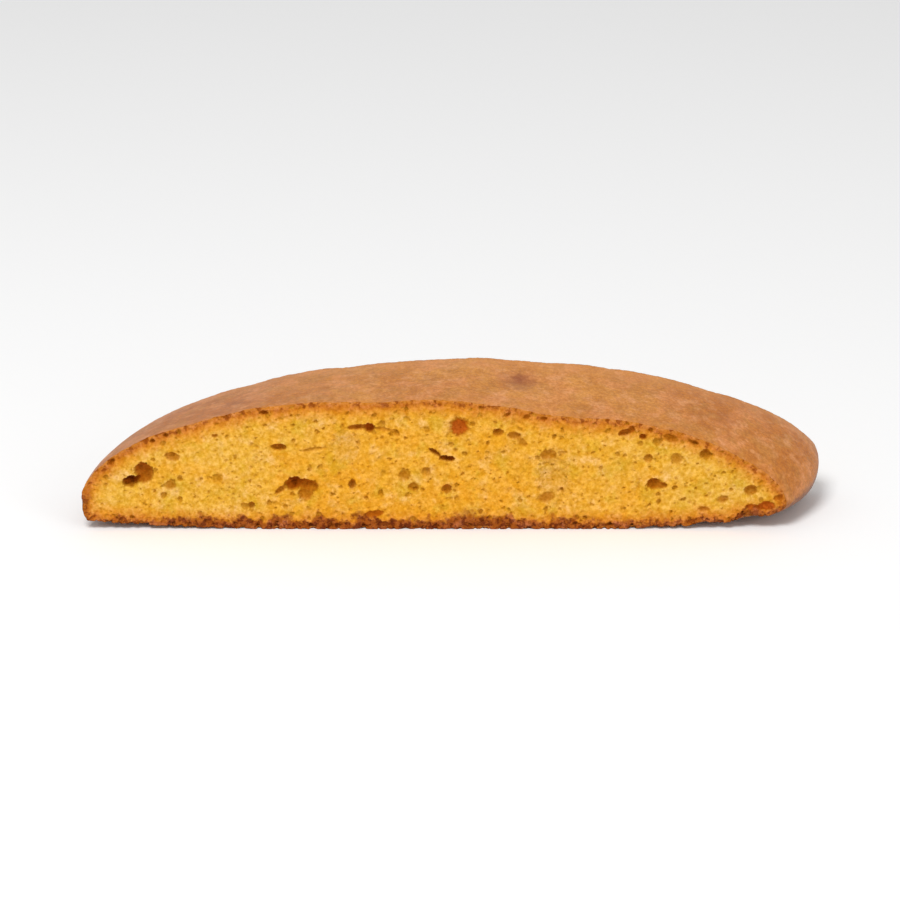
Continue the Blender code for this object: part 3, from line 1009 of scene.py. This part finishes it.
YELLOW_CRUMB = shade(231, 176, 64)
ORANGE_CRUMB = shade(231, 156, 26)
OLIVE_CRUMB = shade(211, 166, 44)
PALE_CRUMB = shade(237, 186, 98)
DULL_CRUMB = shade(217, 164, 70)
# The pore colours are partly glazed walls and partly painted shade of the hollows.
PORE_WALL_AND_SHADE = shade(186, 127, 18)
DEEP_WALL_AND_SHADE = shade(150, 80, 8)
BROWNED_WALL = shade(170, 86, 6)
RED_WALL = shade(184, 88, 20)
CAVITY_AND_SHADE = shade(96, 34, 4)
ORANGE_RIM = shade(217, 135, 42)
TOASTED_RIM = shade(194, 109, 40)
DARK_RIM_AND_SHADE = shade(146, 72, 18)
BASE_RIM = shade(158, 82, 30)
BASE_PINK = shade(200, 118, 58)
BASE_PIT = shade(96, 34, 8)
CRUST_TAN = shade(210, 138, 56)
CRUST_BROWN = shade(196, 119, 38)
CRUST_RED = shade(185, 103, 20)
CRUST_DUSK = shade(180, 101, 38)
CRUST_PINK = shade(213, 134, 70)
CRUST_OLIVE = shade(191, 124, 48)
CRUST_PALE_AND_SHEEN = shade(220, 151, 92)
CRUST_STAIN = shade(146, 78, 40)
BASE_BROWN = shade(150, 88, 42)
BASE_DARK = shade(104, 56, 26)


def paint(tree, factor, under, over):
    """Lays colour `over` on colour `under` as far as the factor says."""
    feeds = {0: factor, 6: under, 7: over}
    return put(tree, "ShaderNodeMix", feeds, data_type="RGBA").outputs[2]


def stored(tree, name):
    """A stored attribute, read inside a material."""
    return put(tree, "ShaderNodeAttribute", attribute_name=name).outputs["Fac"]


def new_material(name, roughness, specular):
    material = bpy.data.materials.new(name)
    material.use_nodes = True
    tree = material.node_tree
    shader = tree.nodes["Principled BSDF"]
    shader.inputs["Roughness"].default_value = roughness
    shader.inputs["Specular IOR Level"].default_value = specular
    place = put(tree, "ShaderNodeTexCoord").outputs["Object"]
    return material, tree, shader, place


# %% [markdown]
# ## The crumb's colour
# Egg and sugar make the crumb golden, more orange in some patches and paler in others. Pores
# are coloured darker the deeper they go: partly painted shade, and partly because their walls are glazed.
# Towards the crust the crumb is toasted, and at the base it is toasted most. The stored depth
# and the distance to the rind drive all of that, so the colour follows the real hollows.

# %% The crumb's material
crumb_material, tree, shader, place = new_material("golden_crumb", 0.85, 0.06)
depth, rind, under, browned = (stored(tree, name) for name in ("depth", "rind", "under", "browned"))


def patch(wave, start, stop, strength, shift):
    """A mask of soft patches about `wave` mm across."""
    there = reckon3(tree, "ADD", place, (shift, shift / 3, shift / 2))
    return slide(tree, noise(tree, there, wave, 3.0, 0.55), start, stop, 0.0, strength)


def speckle(colour, value, spread, darker, lighter):
    """Multiplies a colour, from `darker` where `value` is low to `lighter` where it is high."""
    gain = paint(tree, slide(tree, value, 0.5 - spread, 0.5 + spread), (*darker, 1), (*lighter, 1))
    return reckon3(tree, "MULTIPLY", colour, gain)


from_middle = reckon(tree, "ABSOLUTE", parts_of(tree, place)[0])
warm_middle = slide(tree, from_middle, 0.042, 0.018, 0.0, 0.4)
colour = paint(tree, warm_middle, YELLOW_CRUMB, ORANGE_CRUMB)
colour = paint(tree, patch(9.0, 0.46, 0.64, 0.5, 0.1), colour, ORANGE_CRUMB)
colour = paint(tree, patch(5.0, 0.50, 0.66, 0.6, 0.3), colour, OLIVE_CRUMB)
colour = paint(tree, patch(3.5, 0.50, 0.68, 0.5, 0.5), colour, PALE_CRUMB)
colour = paint(tree, stored(tree, "paled"), colour, DULL_CRUMB)
toasting = reckon(tree, "SUBTRACT", noise(tree, place, 1.3, 4.0, 0.65), 0.5)
toasting = reckon(tree, "ADD", rind, reckon(tree, "MULTIPLY", toasting, 3.0))
colour = paint(tree, slide(tree, toasting, 4.2, 1.0, 0.0, 0.85), colour, ORANGE_RIM)
colour = paint(tree, slide(tree, toasting, 2.0, 0.2, 0.0, 0.85), colour, TOASTED_RIM)
colour = paint(tree, slide(tree, rind, 0.9, 0.1, 0.0, 0.6), colour, CRUST_TAN)
# Painted shade: the deeper a pore, the darker it is coloured, partly for its glazed wall and partly as
# shade.
colour = paint(tree, slide(tree, depth, 0.03, 0.30, 0.0, 0.7), colour, PORE_WALL_AND_SHADE)
colour = paint(tree, slide(tree, depth, 0.6, 1.4, 0.0, 0.6), colour, DEEP_WALL_AND_SHADE)
colour = paint(tree, reckon(tree, "MULTIPLY", browned, 0.9, clamp=True), colour, BROWNED_WALL)
colour = paint(tree, slide(tree, browned, 0.9, 1.4, 0.0, 0.8), colour, RED_WALL)
colour = paint(tree, slide(tree, depth, 1.3, 2.3, 0.0, 0.8), colour, CAVITY_AND_SHADE)

# %% The toasted rim and the browned base, in the same material
rim_specks = noise(tree, place, 1.4, 3.0, 0.6)
near_crust = slide(tree, toasting, 1.5, 0.4)
dark_specks = reckon(tree, "MULTIPLY", near_crust, slide(tree, rim_specks, 0.51, 0.61, 0.0, 0.85))
colour = paint(tree, dark_specks, colour, DARK_RIM_AND_SHADE)
x_here = parts_of(tree, place)[0]
most_baked = reckon(
    tree, "MULTIPLY", slide(tree, x_here, -0.060, -0.036), slide(tree, x_here, 0.052, -0.005)
)
band_height = slide(tree, noise(tree, place, 4.0, 2.0), 0.36, 0.64, 1.6, 4.0)
band_height = reckon(tree, "MULTIPLY", band_height, slide(tree, most_baked, 0.0, 1.0, 0.4, 1.0))
from_base = reckon(tree, "DIVIDE", toasting, band_height)
base_band = reckon(tree, "MULTIPLY", slide(tree, from_base, 1.1, 0.5, 0.0, 0.9), under)
base_band = reckon(tree, "MULTIPLY", base_band, slide(tree, most_baked, 0.0, 1.0, 0.75, 1.0))
colour = paint(tree, base_band, colour, BASE_RIM)
pink = slide(tree, noise(tree, place, 2.4, 2.0), 0.52, 0.66, 0.0, 0.7)
colour = paint(tree, reckon(tree, "MULTIPLY", base_band, pink), colour, BASE_PINK)
pit_noise = noise(tree, place, 1.2, 3.0, 0.65)
base_pits = slide(tree, pit_noise, 0.46, 0.58, 0.0, 0.95)
base_pits = reckon(tree, "MULTIPLY", base_band, base_pits)
colour = paint(tree, base_pits, colour, BASE_PIT)
colour = speckle(colour, noise(tree, place, 2.4, 3.0, 0.6), 0.16, (0.98, 0.95, 0.67), (1.01, 1.03, 1.34))
# Painted shade and highlight: the low places of the fine grain are coloured darker, its high places
# lighter.
colour = speckle(colour, stored(tree, "sponge"), 0.16, (0.86, 0.80, 0.52), (1.09, 1.13, 1.5))
colour = speckle(colour, noise(tree, place, 0.5, 2.0, 0.6), 0.18, (0.90, 0.86, 0.62), (1.07, 1.11, 1.36))
feed(tree, shader.inputs["Base Color"], colour)
micro = noise(tree, place, 0.28, 3.0, 0.7)
bump = put(tree, "ShaderNodeBump", {"Strength": 0.6, "Distance": 0.00012, "Height": micro})
feed(tree, shader.inputs["Normal"], bump.outputs[0])

# %% [markdown]
# ## The crust's colour
# The crust took the most heat, so it is tan on the crown, redder at the ends and darkest under
# the base, all with a fine mottle of flecks. A few soft stains darken the crown, the darkest of
# them in its dimple. The whole crust has a faint dry sheen, and a painted sheen makes the crown
# paler towards the back cut.

# %% The crust's material
# Stains of the crown: place along and across the loaf, radius (mm), and how dark the stain is.
STAINS = (
    (DIMPLE["x"] - 0.6, DIMPLE["y"] + 1.4, 2.4, 0.9),
    (DIMPLE["x"] + 1.8, DIMPLE["y"] + 0.8, 1.8, 0.5),
    (DIMPLE["x"] - 1.0, DIMPLE["y"] + 0.6, 5.5, 0.5),
    (-36.8, -2.3, 2.8, 0.35),
    (54.0, -0.7, 4.0, 0.3),
)
crust_material, tree, shader, place = new_material("baked_crust", 0.5, 0.35)
depth, edge, under = (stored(tree, name) for name in ("depth", "edge", "under"))
x_here, y_here, z_here = parts_of(tree, place)[:3]
flat_place = vector_of(tree, x_here, y_here, 0.0)
cloud = noise(tree, place, 14.0, 3.0, 0.55)
colour = paint(tree, slide(tree, cloud, 0.35, 0.65), CRUST_TAN, CRUST_BROWN)
colour = paint(tree, slide(tree, x_here, 0.020, 0.060, 0.0, 0.7), colour, CRUST_RED)
colour = paint(tree, slide(tree, x_here, -0.020, -0.044, 0.0, 0.75), colour, CRUST_DUSK)
colour = paint(tree, patch(6.0, 0.46, 0.62, 0.6, 0.2), colour, CRUST_PINK)
colour = paint(tree, patch(4.0, 0.48, 0.64, 0.6, 0.4), colour, CRUST_OLIVE)
colour = paint(tree, patch(2.0, 0.50, 0.66, 0.4, 0.6), colour, CRUST_PALE_AND_SHEEN)
dusting = noise(tree, place, 3.2, 3.0, 0.6)
colour = speckle(colour, dusting, 0.16, (0.92, 0.89, 0.76), (1.06, 1.09, 1.26))
mottle = noise(tree, place, 1.1, 4.0, 0.7)
colour = speckle(colour, mottle, 0.18, (0.91, 0.88, 0.78), (1.07, 1.11, 1.26))
colour = speckle(colour, noise(tree, place, 0.55, 2.0, 0.6), 0.18, (0.92, 0.89, 0.81), (1.06, 1.10, 1.22))
on_top = reckon(tree, "GREATER_THAN", z_here, 0.012)
stain_noise = noise(tree, place, 1.6, 3.0, 0.65)
for stain_along, stain_across, radius, strength in STAINS:
    middle = into_box(np.array([[stain_along, stain_across, 0.0]]))[0] * MM
    middle[2] = 0.0
    from_stain = reckon3(tree, "SUBTRACT", flat_place, middle.tolist())
    from_stain = reckon3(tree, "LENGTH", from_stain)
    from_stain = reckon(tree, "ADD", from_stain, reckon(tree, "MULTIPLY", stain_noise, radius * MM))
    stain = slide(tree, from_stain, 1.5 * radius * MM, 0.5 * radius * MM, 0.0, strength)
    colour = paint(tree, reckon(tree, "MULTIPLY", stain, on_top), colour, CRUST_STAIN)
# Painted sheen: the crown is coloured paler towards the back cut.
painted_far_sheen = reckon(tree, "MULTIPLY", slide(tree, y_here, 0.003, 0.010, 0.0, 0.3), on_top)
colour = paint(tree, painted_far_sheen, colour, CRUST_PALE_AND_SHEEN)
baked = paint(tree, slide(tree, mottle, 0.40, 0.62), BASE_DARK, BASE_BROWN)
colour = paint(tree, slide(tree, under, 0.35, 0.75, 0.0, 0.9), colour, baked)
ragged_edge = reckon(tree, "SUBTRACT", noise(tree, place, 0.9, 3.0, 0.65), 0.5)
ragged_edge = reckon(tree, "ADD", edge, reckon(tree, "MULTIPLY", ragged_edge, 4.0))
toasted = slide(tree, ragged_edge, 2.0, 0.2, 0.0, 0.2)
toasted = reckon(tree, "MULTIPLY", toasted, slide(tree, under, 0.3, 0.8, 1.0, 0.5))
colour = paint(tree, toasted, colour, ORANGE_RIM)
edge_specks = slide(tree, noise(tree, place, 1.4, 3.0, 0.6), 0.53, 0.63, 0.0, 0.3)
edge_specks = reckon(tree, "MULTIPLY", edge_specks, slide(tree, ragged_edge, 1.2, 0.0))
colour = paint(tree, edge_specks, colour, DARK_RIM_AND_SHADE)
# Painted shade: pores at the crust's torn edge are coloured darker the deeper they are.
colour = paint(tree, slide(tree, depth, 0.12, 0.5, 0.0, 0.7), colour, DARK_RIM_AND_SHADE)
feed(tree, shader.inputs["Base Color"], colour)
feed(tree, shader.inputs["Roughness"], slide(tree, mottle, 0.3, 0.7, 0.44, 0.60, smooth=False))
shader.inputs["Sheen Weight"].default_value = 0.08
fine = noise(tree, place, 0.4, 4.0, 0.7)
bump = put(tree, "ShaderNodeBump", {"Strength": 0.7, "Distance": 0.00015, "Height": fine})
feed(tree, shader.inputs["Normal"], bump.outputs[0])

# %% [markdown]
# ## Running the tree
# A modifier input is set by its identifier, before Blender first works the object out. The
# result is copied into a plain mesh and the modifier is taken off, so that the finished piece
# holds nothing but its own points.


# %% Apply the tree to each piece
def open_up(piece, material):
    modifier = piece.modifiers.new("Open crumb", "NODES")
    modifier.node_group = crumb_tree
    sockets = {s.name: s.identifier for s in crumb_tree.interface.items_tree if s.in_out == "INPUT"}
    modifier[sockets["Bubbles"]] = bubbles
    modifier[sockets["Bubble Count"]] = len(bubbles.data.vertices)
    modifier[sockets["Material"]] = material
    ready = piece.evaluated_get(bpy.context.evaluated_depsgraph_get())
    mesh = bpy.data.meshes.new_from_object(ready)
    piece.modifiers.clear()
    piece.data = mesh
    mesh.name = piece.name
    for label in ("foot", "into", "fade", "skin"):
        if label in mesh.attributes:
            mesh.attributes.remove(mesh.attributes[label])
    mesh.validate()
    mesh.calc_loop_triangles()
    print(piece.name, "has", len(mesh.loop_triangles), "triangles")


edges = np.zeros(len(crust.data.vertices))
crust.data.attributes["edge"].data.foreach_get("value", edges)
outer_skin = np.clip((edges - 0.05) / 0.4, 0, 1)
crust.data.attributes.new("skin", "FLOAT", "POINT").data.foreach_set("value", outer_skin)
open_up(crumb_front, crumb_material)
open_up(crumb_back, crumb_material)
open_up(crust, crust_material)
bpy.data.objects.remove(bubbles)

# %% [markdown]
# ## Tie the pieces to the model's body
# All three pieces stand for the one CAD solid and ride on its one body.

# %% Tie the pieces to the model
for piece in (crumb_front, crumb_back, crust):
    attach(piece, "root")
    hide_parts("biscotto")

# %% [markdown]
# ## The table, the light and the camera
# The slice lies on a plain white table. A wide soft light stands in front and above, a weaker one
# fills from the right, and a pale sky lifts the shadows. The camera has a long lens and looks
# down a little at the front cut.

# %% The table
TABLE_HALF = 3.0
table_mesh = bpy.data.meshes.new("table")
corners = [(-1, -1), (1, -1), (1, 1), (-1, 1)]
table_mesh.from_pydata([(x * TABLE_HALF, y * TABLE_HALF, 0) for x, y in corners], [], [(0, 1, 2, 3)])
table = bpy.data.objects.new("table", table_mesh)
bpy.context.scene.collection.objects.link(table)
white, tree, shader, place = new_material("white_table", 0.9, 0.1)
shader.inputs["Base Color"].default_value = shade(254, 254, 254)
table_mesh.materials.append(white)


# %% Lights and sky
def soft_light(name, at, towards, size, power):
    lamp = bpy.data.lights.new(name, "AREA")
    lamp.shape = "DISK"
    lamp.size = size
    lamp.energy = power
    light = bpy.data.objects.new(name, lamp)
    light.location = at
    light.rotation_euler = (Vector(towards) - Vector(at)).to_track_quat("-Z", "Y").to_euler()
    bpy.context.scene.collection.objects.link(light)


MIDDLE = Vector((-0.0007, 0.0, 0.012))
soft_light("window", (-0.20, -0.50, 0.85), MIDDLE, 0.45, 6.0)
soft_light("fill", (0.75, -0.75, 0.45), MIDDLE, 0.6, 1.6)
sky = bpy.data.worlds.new("sky")
sky.use_nodes = True
sky.node_tree.nodes["Background"].inputs["Color"].default_value = (1.0, 1.0, 1.0, 1.0)
sky.node_tree.nodes["Background"].inputs["Strength"].default_value = 0.5
bpy.context.scene.world = sky
bpy.context.scene.view_settings.view_transform = "Standard"

# %% The camera
CAMERA_RISE = math.radians(21)
CAMERA_REACH = 0.75
WIDTH_IN_VIEW = 0.168
camera_data = bpy.data.cameras.new("camera")
camera_data.sensor_width = 36.0
camera_data.lens = camera_data.sensor_width * CAMERA_REACH / WIDTH_IN_VIEW
camera = bpy.data.objects.new("camera", camera_data)
camera.location = MIDDLE + CAMERA_REACH * Vector((0, -math.cos(CAMERA_RISE), math.sin(CAMERA_RISE)))
camera.rotation_euler = (MIDDLE - camera.location).to_track_quat("-Z", "Y").to_euler()
bpy.context.scene.collection.objects.link(camera)
bpy.context.scene.camera = camera
